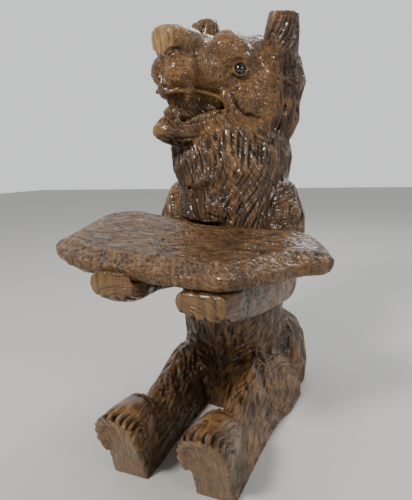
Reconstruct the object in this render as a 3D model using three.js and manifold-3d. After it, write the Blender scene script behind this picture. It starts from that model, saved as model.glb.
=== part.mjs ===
// A sitting bear carved from one block of softwood with a chainsaw and gouges, holding a
// live-edged serving board on its two forearms. Black glass eyes are let into the head.
//
// Millimetres, +Z up. The bear faces -Y and its left side is +X. The origin is on the
// ground, in the middle of the underside of the rump.

import * as THREE from 'three';
import { mergeVertices } from 'three/addons/utils/BufferGeometryUtils.js';
import Module from 'manifold-3d';

const wasm = await Module();
wasm.setup();

// Driving dimensions
const bearHeight = 581;        // ground to the top of the ears, which sets every proportion of the figure
const boardLength = 356;       // tip to tip of the serving board
const boardDepth = 166;        // back edge to front edge at the middle
const boardThickness = 24;
const boardChamferWidth = 27;  // sloping border round the front of the flat top
const boardChamferDrop = 8;
const boardBackChamfer = 8;    // the border narrows to this along the back edge
const boardUnderRelief = 4;    // how far the rough edge leans in towards the underside
const boardGrooveWidth = 5;
const boardGrooveDepth = 2;
const seatHeadroom = 2;        // room cut in the arms above the top of the board
const boardSlope = 7;          // degrees, front edge lower than the back
const boardLean = 1.6;         // degrees, the bear's right end higher
const eyeDiameter = 16.5;
const fitGap = 0.3;            // clearance between pieces that touch

// Colours and finish of the three materials
const stainedWood = new THREE.MeshStandardMaterial({ color: 0x5a3417, roughness: 0.38, metalness: 0 });
const boardWood = new THREE.MeshStandardMaterial({ color: 0x4d2f18, roughness: 0.34, metalness: 0 });
const blackGlass = new THREE.MeshStandardMaterial({ color: 0x050505, roughness: 0.05, metalness: 0 });

// Proportions of the figure are written for a bear 581 mm tall.
const figureScale = bearHeight / 581;
const vec = (x, y, z) => new THREE.Vector3(x, y, z);
const figure = (x, y, z) => vec(x, y, z).multiplyScalar(figureScale);
const radians = THREE.MathUtils.degToRad;

// Turns a closed mesh into a solid that can be joined and cut.
function solid(geometry) {
  const bare = geometry.clone();
  bare.deleteAttribute('normal');
  bare.deleteAttribute('uv');
  const merged = mergeVertices(bare, 1e-4);
  return new wasm.Manifold(new wasm.Mesh({
    numProp: 3,
    vertProperties: new Float32Array(merged.attributes.position.array),
    triVerts: new Uint32Array(merged.index.array),
  }));
}

function meshOf(manifold, name, material) {
  const { vertProperties, triVerts } = manifold.getMesh();
  const geometry = new THREE.BufferGeometry();
  geometry.setAttribute('position', new THREE.BufferAttribute(new Float32Array(vertProperties), 3));
  geometry.setIndex(new THREE.BufferAttribute(new Uint32Array(triVerts), 1));
  geometry.computeVertexNormals();
  const mesh = new THREE.Mesh(geometry, material);
  mesh.name = name;
  return mesh;
}

const joined = (parts) => parts.reduce((whole, part) => whole.add(part));
const cutBy = (block, cutters) => block.subtract(joined(cutters));

// Closes a stack of rings with the same number of points into a solid.
function ringStack(rings) {
  const count = rings[0].length;
  const positions = rings.flat().flatMap((p) => p.toArray());
  const faces = [];
  for (let r = 0; r + 1 < rings.length; r++) {
    for (let i = 0; i < count; i++) {
      const a = r * count + i;
      const b = r * count + (i + 1) % count;
      faces.push(a, b, b + count, a, b + count, a + count);
    }
  }
  const firstPole = rings.length * count;
  for (const ring of [rings[0], rings.at(-1)]) {
    const middle = ring.reduce((sum, p) => sum.add(p), vec(0, 0, 0)).divideScalar(count);
    positions.push(...middle.toArray());
  }
  const last = firstPole - count;
  for (let i = 0; i < count; i++) {
    const next = (i + 1) % count;
    faces.push(firstPole, next, i, firstPole + 1, last + i, last + next);
  }
  const geometry = new THREE.BufferGeometry();
  geometry.setAttribute('position', new THREE.Float32BufferAttribute(positions, 3));
  geometry.setIndex(faces);
  return solid(geometry);
}

// A rounded limb or trunk swept along a spine. A station is [x, y, z, half width, half thickness].
// at(t, angle) is the point on its skin: t runs from 0 to 1 along the spine, and angle 0 is the
// side (tangent x up), 90 the side that faces up. A ridge above 0 narrows the section upwards.
function limb(stations, { up = vec(0, 0, 1), sides = 14, steps = 8, square = 2.1, ridge = 0 } = {}) {
  const spine = new THREE.CatmullRomCurve3(stations.map(([x, y, z]) => figure(x, y, z)));
  const girth = new THREE.CatmullRomCurve3(stations.map(([, , , w, h]) => figure(w, h, 0)));
  const power = 2 / square;
  const rounded = (v) => Math.sign(v) * Math.abs(v) ** power;
  const at = (t, degrees, lift = 0) => {
    const centre = spine.getPoint(t);
    const along = spine.getTangent(t);
    const side = vec(0, 0, 0).crossVectors(along, up).normalize();
    const top = vec(0, 0, 0).crossVectors(side, along);
    const size = girth.getPoint(t);
    const angle = radians(degrees);
    return centre
      .addScaledVector(side, (size.x * (1 - ridge * Math.sin(angle)) + lift) * rounded(Math.cos(angle)))
      .addScaledVector(top, (size.y + lift) * rounded(Math.sin(angle)));
  };
  const positions = [];
  for (let i = 0; i <= steps; i++) {
    for (let k = 0; k < sides; k++) positions.push(...at(i / steps, 360 * k / sides).toArray());
  }
  const startPole = (steps + 1) * sides;
  positions.push(...spine.getPoint(0).toArray(), ...spine.getPoint(1).toArray());
  const faces = [];
  for (let k = 0; k < sides; k++) {
    const next = (k + 1) % sides;
    for (let i = 0; i < steps; i++) {
      const a = i * sides + k;
      const b = i * sides + next;
      faces.push(a, b + sides, b, a, a + sides, b + sides);
    }
    faces.push(startPole, k, next);
    faces.push(startPole + 1, steps * sides + next, steps * sides + k);
  }
  const geometry = new THREE.BufferGeometry();
  geometry.setAttribute('position', new THREE.Float32BufferAttribute(positions, 3));
  geometry.setIndex(faces);
  return { body: solid(geometry), at };
}

// An egg-shaped form, with the same at(t, angle) as a limb: t runs from its top to its bottom.
function egg([x, y, z], [rx, ry, rz], { across = 14, down = 9, turn = [0, 0, 0] } = {}) {
  const place = new THREE.Matrix4().compose(
    figure(x, y, z),
    new THREE.Quaternion().setFromEuler(new THREE.Euler(...turn.map(radians))),
    figure(rx, ry, rz),
  );
  const sphere = new THREE.SphereGeometry(1, across, down);
  sphere.rotateX(Math.PI / 2);
  sphere.applyMatrix4(place);
  const at = (t, degrees, lift = 0) => {
    const polar = Math.PI * t;
    const angle = radians(degrees);
    const unit = vec(Math.sin(polar) * Math.cos(angle), Math.sin(polar) * Math.sin(angle), Math.cos(polar));
    const grown = 1 + lift / (figureScale * Math.min(rx, ry, rz));
    return unit.multiplyScalar(grown).applyMatrix4(place);
  };
  return { body: solid(sphere), at };
}

// One pass of a gouge over a form: a V cut that runs out to nothing at both ends.
function gouge(form, [t0, a0], [t1, a1], width, depth, middles = 1) {
  const step = 0.01;
  const point = (s, lift = 0) => form.at(
    THREE.MathUtils.lerp(t0, t1, s), THREE.MathUtils.lerp(a0, a1, s), lift,
  );
  const ring = [];
  for (let m = 1; m <= middles; m++) {
    const s = m / (middles + 1);
    const here = point(s);
    const along = point(s + step).sub(point(s - step)).normalize();
    const out = point(s, 1).sub(here).normalize();
    const across = vec(0, 0, 0).crossVectors(out, along).normalize();
    const fullness = middles > 1 ? 0.9 : 1;
    const rim = 1.6;
    const half = width / 2 * fullness * rim;
    const lift = depth * fullness * (rim - 1);
    ring.push([
      here.clone().addScaledVector(across, half).addScaledVector(out, lift),
      here.clone().addScaledVector(out, -depth * fullness),
      here.clone().addScaledVector(across, -half).addScaledVector(out, lift),
    ]);
  }
  const points = [point(0, 0.4), ...ring.flat(), point(1, 0.4)];
  const end = points.length - 1;
  const faces = [0, 2, 1, 0, 3, 2, 0, 1, 3];
  for (let m = 0; m + 1 < middles; m++) {
    for (let k = 0; k < 3; k++) {
      const a = 1 + 3 * m + k;
      const b = 1 + 3 * m + (k + 1) % 3;
      faces.push(a, b, b + 3, a, b + 3, a + 3);
    }
  }
  const tail = 1 + 3 * (middles - 1);
  faces.push(end, tail, tail + 1, end, tail + 1, tail + 2, end, tail + 2, tail);
  const geometry = new THREE.BufferGeometry();
  geometry.setAttribute('position', new THREE.Float32BufferAttribute(points.flatMap((p) => p.toArray()), 3));
  geometry.setIndex(faces);
  const cut = solid(geometry);
  return cut.volume() < 0 ? solid(reversed(geometry)) : cut;
}

function reversed(geometry) {
  const index = geometry.index.array;
  for (let i = 0; i < index.length; i += 3) [index[i + 1], index[i + 2]] = [index[i + 2], index[i + 1]];
  return geometry;
}

function blockAt(width, depth, height, place) {
  const box = new THREE.BoxGeometry(width, depth, height);
  box.applyMatrix4(place);
  return solid(box);
}

// Trunk: belly, chest and neck in one sweep
const trunk = limb([
  [0, 105, -20, 98, 90],
  [0, 110, 40, 92, 92],
  [0, 108, 75, 82, 91],
  [0, 105, 100, 77, 100],
  [0, 101, 142, 79, 113],
  [0, 101, 180, 79, 113],
  [0, 101, 215, 80, 111],
  [0, 102, 262, 82, 110],
  [0, 103, 298, 82, 111],
  [0, 105, 332, 81, 110],
  [4, 108, 362, 86, 100],
  [6, 109, 388, 84, 93],
  [10, 111, 412, 77, 82],
  [16, 113, 438, 58, 62],
], { up: vec(0, -1, 0), sides: 16, steps: 11, square: 2 });

// Throat: the fringe that hangs under the chin, turned a little with the head
const throat = limb([
  [-14, 82, 440, 55, 46],
  [-22, 62, 414, 60, 46],
  [-18, 52, 390, 60, 46],
  [-12, 45, 366, 60, 50],
  [-6, 42, 342, 52, 51],
  [-3, 46, 327, 34, 40],
  [-2, 52, 318, 12, 16],
], { up: vec(0, -1, 0), sides: 12, steps: 6, square: 2 });

// Legs, stretched forward flat on the ground, and the soles at their ends
const soleAtGround = -150 * figureScale;
const soleLean = 18.5; // degrees
const legs = [1, -1].map((side) => limb([
  [side * 60, 96, 14, 52, 62],
  [side * 60, 50, 22, 46, 64],
  [side * 58, 22, 25, 38, 67],
  [side * 57, -6, 23, 33, 63],
  [side * 56, -47, 19, 30, 59],
  [side * 55, -90, 17, 27, 56],
  [side * 54, -124, 15, 26, 52],
  [side * 54, -170, 15, 22, 46],
], { sides: 12, steps: 6, square: 2.5, ridge: 0.32 }));
const feet = [1, -1].map((side) => limb([
  [side * 54, -108, 20, 18, 40],
  [side * 54, -126, 24, 23, 54],
  [side * 53, -158, 26, 23, 64],
  [side * 53, -210, 26, 22, 64],
], { sides: 12, steps: 3, square: 2.8 }));
// Toes: a cap that is wider than the sole and stands a little in front of it
const toeSpread = (side) => 27.5 + 1.5 * side; // the left foot is the broader one
const toeCaps = [1, -1].map((side) => limb([
  [side * 55, -106, 44, 17, 26],
  [side * 53, -128, 60, toeSpread(side) - 3, 33],
  [side * 51.5, -158, 65, toeSpread(side), 33],
  [side * 51.5, -200, 65, toeSpread(side), 33],
], { sides: 14, steps: 3, square: 2.5 }));
// The part of a cap that is cut back to the sole, so that only its rim stands in front
const toeCores = [1, -1].map((side) => limb([
  [side * 51.5, -100, 49, toeSpread(side) - 6, 41],
  [side * 51.5, -210, 49, toeSpread(side) - 6, 41],
], { sides: 12, steps: 1, square: 2.5 }));
const haunches = [1, -1].map((side) => limb([
  [side * 51 + 2, 140, -20, 56, 68],
  [side * 50 + 3, 146, 36, 60, 68],
  [side * 48 + 3, 149, 72, 56, 61],
  [side * 44 + 3, 150, 95, 46, 49],
  [side * 41 + 2, 150, 109, 27, 30],
  [side * 40, 150, 115, 8, 10],
], { up: vec(0, -1, 0), sides: 12, steps: 5, square: 2.3 }));

// Arms: the upper arm hangs from the shoulder, the forearm reaches forward under the board
const upperArms = [1, -1].map((side) => limb([
  [side * 56, 98, 346, 12, 16],
  [side * 72, 90, 322, 28, 32],
  [side * 81, 84, 286, 33, 37],
  [side * 82, 76, 244, 33, 36],
  [side * 81, 64, 208, 26, 30],
  [side * 80, 56, 190, 10, 12],
], { up: vec(0, -1, 0), sides: 12, steps: 5 }));
const wristDrop = (side) => 5 + 6 * side; // the left paw is the deeper one
const forearms = [1, -1].map((side) => limb([
  [side * 80, 84, 208, 24, 28],
  [side * 82, 40, 213 - wristDrop(side) / 2, 30, 34],
  [side * 79, -20, 222 - wristDrop(side), 27, 31],
  [side * 70, -70, 229 - wristDrop(side), 26, 29],
  [side * 61, -115, 232 - wristDrop(side), 28, 26],
  [side * 54, -138, 235 - wristDrop(side), 29, 22],
  [side * 50 - 3, -160, 240 - wristDrop(side), 28, 16],
  [side * 50 - 6, -192, 246 - wristDrop(side), 27, 12],
], { sides: 12, steps: 6, square: 2.6 }));
const pawFront = -163 * figureScale; // the fingers end square

// Head, modelled looking straight ahead, then tipped a little and turned to the bear's right
const headPivot = [0, 66, 520];
const headTurn = -30; // degrees about the vertical
const headTilt = 8;   // degrees, left ear lower
const headPlace = new THREE.Matrix4()
  .makeTranslation(...figure(...headPivot))
  .multiply(new THREE.Matrix4().makeRotationZ(radians(headTurn)))
  .multiply(new THREE.Matrix4().makeRotationY(radians(headTilt)))
  .multiply(new THREE.Matrix4().makeTranslation(0, 0, -50 * figureScale));
const inHead = (form) => ({
  body: form.body.transform(headPlace.elements),
  at: (t, a, lift) => form.at(t, a, lift).applyMatrix4(headPlace),
});
const onHead = (x, y, z) => figure(x, y, z).applyMatrix4(headPlace);
const bothSides = (make) => [1, -1].map((side) => inHead(make(side)));

// Ruff: the thick mane behind the cheeks, from the nape to the crown
const ruff = inHead(limb([
  [0, 52, -68, 66, 58],
  [0, 57, -50, 81, 63],
  [0, 60, -34, 87, 63],
  [0, 60, -14, 84, 61],
  [0, 60, 14, 91, 62],
  [0, 58, 44, 78, 57],
  [0, 54, 66, 50, 40],
  [0, 52, 75, 20, 16],
], { up: vec(0, -1, 0), sides: 16, steps: 7, square: 2 }));

const skull = inHead(egg([0, 34, 6], [64, 60, 62], { across: 14, down: 8 }));
const muzzle = inHead(limb([
  [0, 14, 16, 46, 44],
  [0, -14, 20, 41, 40],
  [0, -40, 22, 35, 35],
  [0, -62, 20, 27, 31],
  [0, -82, 16, 20, 27],
  [0, -96, 13, 12, 20],
], { sides: 14, steps: 5, square: 2.3 }));
// Nose: a squared hood that overhangs in front and runs down to a point between the lip pads
const nose = inHead(limb([
  [0, -42, 42, 14, 12],
  [0, -58, 48, 24, 17],
  [0, -82, 48, 27, 18],
  [0, -97, 46, 25, 18],
  [0, -104, 45, 21, 16],
], { sides: 12, steps: 4, square: 2.9 }));
const noseTip = inHead(egg([0, -88, 31], [15, 16, 19], { across: 8, down: 6 }));
const lipPads = bothSides((side) => egg([side * 17, -81, 12], [19, 23, 22], { across: 12, down: 7 }));
const brows = bothSides((side) => egg([side * 26, -12, 42], [26, 31, 28], { across: 10, down: 7 }));
const cheeks = bothSides((side) => egg([side * 42, 25, -11], [24, 39, 37], {
  across: 10, down: 7, turn: [0, side * -10, 0],
}));
const jaw = inHead(limb([
  [0, 66, -36, 52, 36],
  [0, 34, -50, 49, 33],
  [0, 0, -60, 46, 28],
  [0, -34, -67, 38, 21],
  [0, -66, -67, 31, 18],
  [0, -90, -63, 25, 15],
  [0, -101, -61, 18, 11],
  [0, -107, -60, 7, 5],
], { sides: 12, steps: 6, square: 2.3 }));
const chops = bothSides((side) => egg([side * 28, 6, -24], [21, 35, 37], { across: 10, down: 6 }));

// Mouth: the gape between the jaws, then the tongue, the web of wood left down the middle, the
// gums and the teeth standing in it
const gape = inHead(limb([
  [0, 0, -27, 30, 3],
  [0, -24, -28, 46, 9],
  [0, -50, -32, 50, 18],
  [0, -84, -31, 52, 19],
  [0, -140, -31, 54, 20],
], { sides: 12, steps: 5, square: 2.8 }));
const mouthFloor = inHead(egg([0, -60, -49], [22, 38, 14], { across: 10, down: 6 }));
const mouthRoof = inHead(egg([0, -54, -14], [21, 36, 9], { across: 10, down: 5 }));
const tongue = inHead(egg([0, -56, -42], [16, 40, 14], { across: 10, down: 6, turn: [-6, 0, 0] }));
const gullet = inHead(egg([0, -20, -30], [29, 32, 22], { across: 10, down: 6 }));
const web = inHead(egg([0, -44, -27], [10, 46, 24], { across: 8, down: 6 }));
const upperGum = inHead(egg([0, -91, -5], [16, 13, 19], { across: 10, down: 6 }));
const upperLip = inHead(egg([0, -78, 2], [22, 25, 18], { across: 10, down: 6 }));
const frontGum = inHead(egg([0, -90, -55], [19, 10, 12], { across: 10, down: 6 }));
const toothRows = bothSides((side) => limb([
  [side * 18, -82, -58, 5, 6],
  [side * 25, -66, -53, 7, 12],
  [side * 30, -46, -46, 7, 13],
  [side * 34, -26, -38, 6, 11],
  [side * 35, -12, -34, 4, 6],
], { sides: 6, steps: 3 }));

const upperFang = 31 * figureScale; // length of the eye teeth, with their roots
const lowerFang = 15 * figureScale;
const fangWidth = 10.5 * figureScale;
function tooth(x, y, z, radius, length, direction) {
  const cone = new THREE.ConeGeometry(radius, length, 6);
  cone.rotateX(direction * Math.PI / 2);
  const root = figure(x, y, z);
  cone.translate(root.x, root.y, root.z + direction * length / 2);
  return solid(cone).transform(headPlace.elements);
}
const teeth = [];
for (const side of [1, -1]) {
  teeth.push(tooth(side * 21, -73, 4, fangWidth, upperFang, -1));
  teeth.push(tooth(side * 16, -84, -57, fangWidth / 2, lowerFang, 1));
}

// Ears: chunky upright blocks, square on top, hollowed on the side that faces forward
const ears = [1, -1].map((side) => {
  const shift = side > 0 ? 0 : 8; // the right ear stands a little higher and further forward
  const block = inHead(limb([
    [side * 58, 45 - shift, 10, 20, 25],
    [side * (64 + shift / 4), 45 - shift * 1.4, 44 + shift, 23, 26],
    [side * (69 + shift / 2), 40 - shift * 1.9, 70 + shift, 21, 23],
    [side * (71 + shift / 2), 37 - shift * 2, 94 + shift / 2, 19, 17.5],
  ], { up: vec(0, -1, 0), sides: 12, steps: 3, square: 2.5 }));
  const hollow = inHead(egg([side * 80, 13 - shift * 1.8, 84 + shift], [12, 13, 36], {
    across: 8, down: 6, turn: [-5, side * 8, 0],
  }));
  return { body: block.body.subtract(hollow.body), at: block.at };
});

// Eyes: glass balls let into sockets at the bottom of shallow hollows
const eyePlace = (side) => [side * 44, -7, 21];
const eyeFacing = (side) => vec(side * 0.86, -0.47, 0.16).normalize();
const eyePoint = (side, out) => onHead(...eyePlace(side))
  .add(eyeFacing(side).transformDirection(headPlace).multiplyScalar(out * figureScale));
function ball(centre, radius) {
  const sphere = new THREE.SphereGeometry(radius, 10, 6);
  sphere.translate(centre.x, centre.y, centre.z);
  return solid(sphere);
}
const eyeHollows = [1, -1].map((side) => ball(eyePoint(side, 10), 13.5 * figureScale));
const eyeSockets = [1, -1].map((side) => ball(eyePoint(side, 0), eyeDiameter / 2 + fitGap));

// Fur: rows of gouge strokes that follow the lie of the coat on each form
const wobble = (i) => ((i * 0.618) % 1) - 0.5;
const strokes = [];
function stroke(form, from, to, width = 8, depth = 4, middles = 1) {
  strokes.push(gouge(form, from, to, width * figureScale, depth * figureScale, middles));
}
for (const side of [1, -1]) {
  const out = (degrees) => 90 - side * degrees; // angle measured from the front, round to this side
  // chest and belly hair runs inwards and down to the middle line
  for (let i = 0; i < 3; i++) {
    stroke(trunk, [0.74 - i * 0.04, out(46 - i * 2)], [0.63 - i * 0.04, out(5)], 9);
    stroke(trunk, [0.4 - i * 0.06, out(62 - i * 3)], [0.29 - i * 0.05, out(4)], 9);
  }
  // throat fringe and the mane behind the cheek hang in long locks
  for (let i = 0; i < 3; i++) {
    stroke(throat, [0.4, out(12 + i * 21)], [0.78, out(9 + i * 18)], 9, 4, 2);
  }
  for (let i = 0; i < 2; i++) {
    stroke(ruff, [0.86, out(112 + i * 42)], [0.58, out(100 + i * 42)], 10, 5);
  }
  for (let i = 0; i < 4; i++) {
    stroke(ruff, [0.54, out(82 + i * 26)], [0.08, out(74 + i * 26)], 10, 5, 2);
  }
}
for (const [n, side] of [1, -1].entries()) {
  const out = (degrees) => 90 - side * degrees;
  const outwards = (degrees) => 90 + side * degrees; // on a form that runs downwards
  // shoulder to elbow, and along the forearm
  for (let i = 0; i < 3; i++) {
    stroke(upperArms[n], [0.14 + (i % 2) * 0.1, outwards(48 + i * 36)], [0.76, outwards(34 + i * 36)], 10, 5);
  }
  stroke(forearms[n], [0.25, out(98)], [0.66, out(104)], 8, 3.4);
  // fingers parted under the end of the paw
  for (let i = 0; i < 4; i++) {
    stroke(forearms[n], [0.8, out(112 + i * 38)], [0.97, out(112 + i * 38)], 7, 4);
  }
  // haunch hair falls over the hip to the ground
  for (let i = 0; i < 5; i++) {
    stroke(haunches[n], [0.84, out(70 + i * 28)], [0.3, out(62 + i * 28)], 10, 4.6);
  }
  // herringbone on the leg, parting along its ridge
  for (let i = 0; i < 4; i++) {
    const t = 0.2 + i * 0.12;
    stroke(legs[n], [t, 90 + 7], [t + 0.15, 90 + 66], 9);
    stroke(legs[n], [t + 0.06, 90 - 9], [t + 0.21, 90 - 66], 9);
  }
  // toes curl over the top of the foot and notch its rim
  for (let i = 0; i < 5; i++) {
    stroke(toeCaps[n], [0.46, 30 + i * 32 - side * 4], [1, 24 + i * 32], 9, 4.5);
  }
  // teeth parted by slanting cuts
  for (let i = 0; i < 3; i++) {
    stroke(toothRows[n], [0.3 + i * 0.22, 90 - side * 60], [0.36 + i * 0.22, 90 + side * 50], 5, 4);
  }
}
for (let i = -1; i <= 1; i++) stroke(frontGum, [0.1, 270 + i * 24], [0.46, 270 + i * 24], 4, 3);
// back
for (let i = 0; i < 4; i++) {
  const row = i % 2;
  const angle = 240 + (i - row) * 24 + wobble(i) * 10;
  stroke(trunk, [0.8 - row * 0.22, angle], [0.6 - row * 0.22, angle + wobble(i + 3) * 8], 11);
}

// The block of wood before it is cut
const block = joined([
  trunk, ruff, throat, ...legs, ...feet, ...haunches, ...upperArms, ...forearms,
  skull, muzzle, nose, noseTip, ...lipPads, ...brows, ...cheeks, ...chops, jaw, ...ears,
].map((form) => form.body));

const inMouth = [tongue, gullet, web, upperGum, upperLip, frontGum, ...toothRows].map((form) => form.body);
const faced = cutBy(block, [gape.body, mouthFloor.body, mouthRoof.body, ...eyeHollows])
  .add(joined([...inMouth, ...teeth]));

// Sole faces and the flat underside. The toe caps are cut a little further forward.
const big = 900;
const toeOverhang = 6 * figureScale;
const toeFloor = 1 * figureScale; // the hollow under the toes stops this far in front of the sole
const soleCutAt = (forward) => blockAt(big, big, big, new THREE.Matrix4()
  .makeTranslation(0, soleAtGround, 0)
  .multiply(new THREE.Matrix4().makeRotationX(radians(soleLean)))
  .multiply(new THREE.Matrix4().makeTranslation(0, -big / 2 - forward, 0)));
const soleCut = soleCutAt(0);
const toes = joined(toeCaps.map((cap, n) => cap.body
  .subtract(soleCutAt(toeOverhang))
  .subtract(toeCores[n].body.intersect(soleCutAt(toeFloor)))));
const soleTop = 130 * figureScale; // the soles' cut stays below the paws and the board
const soleZone = blockAt(big, big, big, new THREE.Matrix4().makeTranslation(0, 0, soleTop - big / 2));
const pawCut = blockAt(big, big, 120 * figureScale, new THREE.Matrix4()
  .makeTranslation(0, pawFront - big / 2, 235 * figureScale));
const underside = blockAt(big, big, big, new THREE.Matrix4().makeTranslation(0, 0, -big / 2));

// Serving board, cut to its outline in the plane and then tipped onto the forearms. The outline
// starts at the bear's left of the back edge and runs round the front, in shares of half the
// length and of the depth, from the middle of the back edge.
const boardOutline = [
  [0.62, 0.02], [0.73, 0.06], [0.84, 0.22], [0.92, 0.42], [0.925, 0.55], [0.83, 0.58],
  [0.72, 0.68], [0.60, 0.82], [0.47, 0.94], [0.33, 1.00], [0.12, 0.99], [-0.14, 0.97], [-0.40, 0.95],
  [-0.66, 0.87], [-0.86, 0.75], [-0.99, 0.63], [-1.02, 0.46], [-1.01, 0.20], [-1.05, -0.08],
  [-0.99, -0.28], [-0.82, -0.36], [-0.50, -0.24], [0.00, -0.01],
];
const boardBack = 3 * figureScale;
const boardCurve = new THREE.CatmullRomCurve3(
  boardOutline.map(([x, y]) => vec(x * boardLength / 2, boardBack - y * boardDepth, 0)),
  true,
  'catmullrom',
  0.5,
);
const edgeScallops = 28; // hollows left along the edge by the gouge
const scallopDepth = 1.8;
const edgePoints = boardCurve.getSpacedPoints(edgeScallops * 2).slice(0, -1);
function boardRing(inset, z, ripple) {
  const span = inset > boardUnderRelief ? 4 : 1;
  const count = edgePoints.length;
  return edgePoints.map((p, i) => {
    const before = edgePoints.at(i - span);
    const after = edgePoints[(i + span) % count];
    const inward = vec(before.y - after.y, after.x - before.x, 0).normalize();
    const front = THREE.MathUtils.smoothstep(boardBack - p.y, 0.2 * boardDepth, 0.7 * boardDepth);
    const width = inset > boardUnderRelief ? THREE.MathUtils.lerp(boardBackChamfer, inset, front) : inset;
    const offset = width + (i % 2) * ripple;
    return vec(p.x - inward.x * offset, p.y - inward.y * offset, z);
  }).reverse();
}
const boardPlank = ringStack([
  boardRing(boardUnderRelief, 0, scallopDepth),
  boardRing(0, boardThickness * 0.3, scallopDepth),
  boardRing(0, boardThickness - boardChamferDrop, scallopDepth),
  boardRing(boardChamferWidth, boardThickness, 0),
]);
const boardTop = {
  at: (x, y, lift = 0) => vec(x * boardLength / 2, boardBack - y * boardDepth, boardThickness + lift),
};
const grooves = [];
for (let i = 0; i < 18; i++) {
  const row = Math.floor(i / 3);
  const x = -0.78 + (i % 3) * 0.5 + wobble(i) * 0.14;
  const y = 0.04 + row * 0.11 + wobble(i + 5) * 0.03 - Math.max(0, -x - 0.35) * 0.3;
  const end = [x + 0.4, y + 0.02 + wobble(i + 2) * 0.03];
  grooves.push(gouge(boardTop, [x, y], end, boardGrooveWidth, boardGrooveDepth));
}
const board = cutBy(boardPlank, grooves);
const restHeight = 251.5 * figureScale; // underside of the board above the ground, at its mid-depth
const boardMiddle = -80 * figureScale;
const boardPlace = new THREE.Matrix4()
  .makeTranslation(0, boardMiddle, restHeight)
  .multiply(new THREE.Matrix4().makeRotationX(radians(boardSlope)))
  .multiply(new THREE.Matrix4().makeRotationY(radians(boardLean)))
  .multiply(new THREE.Matrix4().makeTranslation(0, -boardMiddle, 0));
const seat = ringStack([
  boardRing(-fitGap - scallopDepth, -fitGap, 0),
  boardRing(-fitGap - scallopDepth, boardThickness + seatHeadroom, 0),
]).transform(boardPlace.elements);

const bear = cutBy(
  faced.subtract(soleCut.intersect(soleZone)).add(toes),
  [...strokes, underside, pawCut, seat, ...eyeSockets],
);

// The forms above are laid out from a point between the knees. The piece is handed over with
// its origin under the body.
const bodyAxis = 105 * figureScale;
const group = new THREE.Group();
group.add(meshOf(bear, 'bear', stainedWood));
group.add(meshOf(board.transform(boardPlace.elements), 'serving_board', boardWood));
for (const [side, name] of [[1, 'left_eye'], [-1, 'right_eye']]) {
  const glass = new THREE.Mesh(new THREE.SphereGeometry(eyeDiameter / 2, 10, 6), blackGlass);
  glass.position.copy(eyePoint(side, 0));
  glass.name = name;
  group.add(glass);
}

for (const mesh of group.children) mesh.position.y -= bodyAxis;

export default group;
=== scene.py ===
import math

import bmesh
import bpy
import numpy as np
from mathutils import Matrix, Vector
from mathutils.bvhtree import BVHTree


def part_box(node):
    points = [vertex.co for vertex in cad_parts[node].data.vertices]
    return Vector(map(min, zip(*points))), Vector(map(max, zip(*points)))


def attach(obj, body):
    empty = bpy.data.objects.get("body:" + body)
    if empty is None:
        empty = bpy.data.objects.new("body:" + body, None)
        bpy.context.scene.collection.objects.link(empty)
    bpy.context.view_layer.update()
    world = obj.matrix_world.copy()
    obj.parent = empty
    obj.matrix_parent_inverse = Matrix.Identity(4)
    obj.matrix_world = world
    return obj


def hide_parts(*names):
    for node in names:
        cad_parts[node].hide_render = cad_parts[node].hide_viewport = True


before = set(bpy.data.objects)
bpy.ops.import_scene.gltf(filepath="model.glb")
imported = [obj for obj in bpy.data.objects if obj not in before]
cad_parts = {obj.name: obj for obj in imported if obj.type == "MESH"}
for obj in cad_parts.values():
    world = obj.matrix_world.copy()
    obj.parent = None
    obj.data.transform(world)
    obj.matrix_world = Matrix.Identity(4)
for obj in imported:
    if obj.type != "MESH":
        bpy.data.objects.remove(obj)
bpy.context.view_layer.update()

scene = bpy.context.scene

# The bear's block. The whole animal is one block of softwood, roughed out with a chainsaw.
# Here it is taken from the frame, given the rolled lips, eyelids and teeth that a carver cuts
# with knives, and made one even skin that the gouges can work on.
MM = 0.001
BLOCK_GRID = 1.35 * MM       # spacing of the points on the block's skin
BLOCK_SOFTENING = 16         # passes that round the saw's facets
HEAD_TURN = -30              # degrees, towards the bear's right
HEAD_TILT = 8                # degrees, left ear lower
HEAD_PIVOT = Vector((0, -39, 520)) * MM

head = (
    Matrix.Translation(HEAD_PIVOT)
    @ Matrix.Rotation(math.radians(HEAD_TURN), 4, "Z")
    @ Matrix.Rotation(math.radians(HEAD_TILT), 4, "Y")
    @ Matrix.Translation(Vector((0, 0, -50)) * MM)
)


def on_head(x, y, z):
    """A point given in millimetres on the head, as it looks straight ahead."""
    return head @ (Vector((x, y, z)) * MM)


def roll(points, radii, sides=12):
    """A closed round bead through the points, with its own radius at each."""
    form = bmesh.new()
    rings = []
    for i, (point, radius) in enumerate(zip(points, radii)):
        along = (points[min(i + 1, len(points) - 1)] - points[max(i - 1, 0)]).normalized()
        turn = along.to_track_quat("Z", "Y")
        ring = []
        for k in range(sides):
            angle = 2 * math.pi * k / sides
            spoke = Vector((math.cos(angle), math.sin(angle), 0)) * radius
            ring.append(form.verts.new(point + turn @ spoke))
        rings.append(ring)
    for low, high in zip(rings, rings[1:]):
        for k in range(sides):
            form.faces.new((low[k], low[(k + 1) % sides], high[(k + 1) % sides], high[k]))
    form.faces.new(list(reversed(rings[0])))
    form.faces.new(rings[-1])
    return form


def smooth_path(points, steps):
    """Points of a smooth curve through the given ones, steps to each span."""
    path = [Vector(p) for p in points]
    ends = [2 * path[0] - path[1]] + path + [2 * path[-1] - path[-2]]
    curve = []
    for a, b, c, d in zip(ends, ends[1:], ends[2:], ends[3:]):
        for i in range(steps):
            t = i / steps
            curve.append(
                b * 1.0
                + (c - a) * (0.5 * t)
                + (2 * a - 5 * b + 4 * c - d) * (0.5 * t * t)
                + (3 * b - a - 3 * c + d) * (0.5 * t ** 3)
            )
    curve.append(path[-1])
    return curve


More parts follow.
